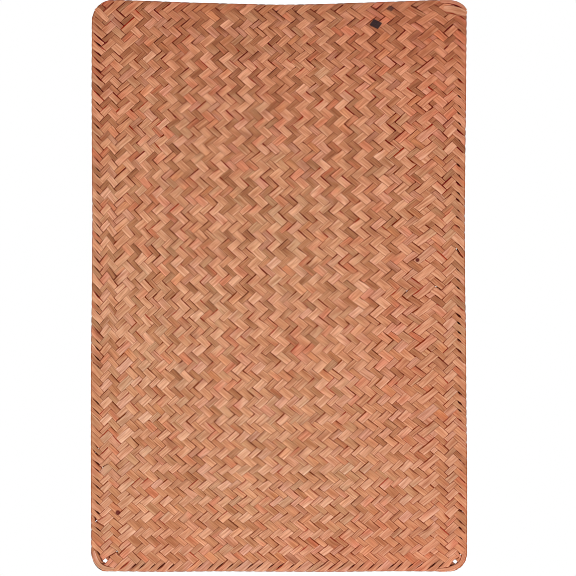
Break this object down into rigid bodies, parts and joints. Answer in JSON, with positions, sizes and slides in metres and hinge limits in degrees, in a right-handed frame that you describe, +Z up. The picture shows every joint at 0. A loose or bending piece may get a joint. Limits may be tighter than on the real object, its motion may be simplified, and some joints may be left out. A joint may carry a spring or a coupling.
{
  "type": "plaited pandanus mat",
  "caption": "Flat rectangular table or floor mat with rounded corners, plaited in one piece from flat leaf strips with a folded selvedge.",
  "frame": {"origin": "under the middle of the mat, on the surface that it lies on", "axes": "+X across the mat, +Y along it towards the end that is uppermost in the picture, +Z up out of its upper face"},
  "size_m": [0.3, 0.456, 0.002],
  "materials": {
    "pandanus_leaf": "split leaf dyed reddish orange, slightly shiny, with fine veins along each strip"
  },
  "bodies": {
    "root": {"mat": "pandanus_leaf"}
  },
  "joints": []
}
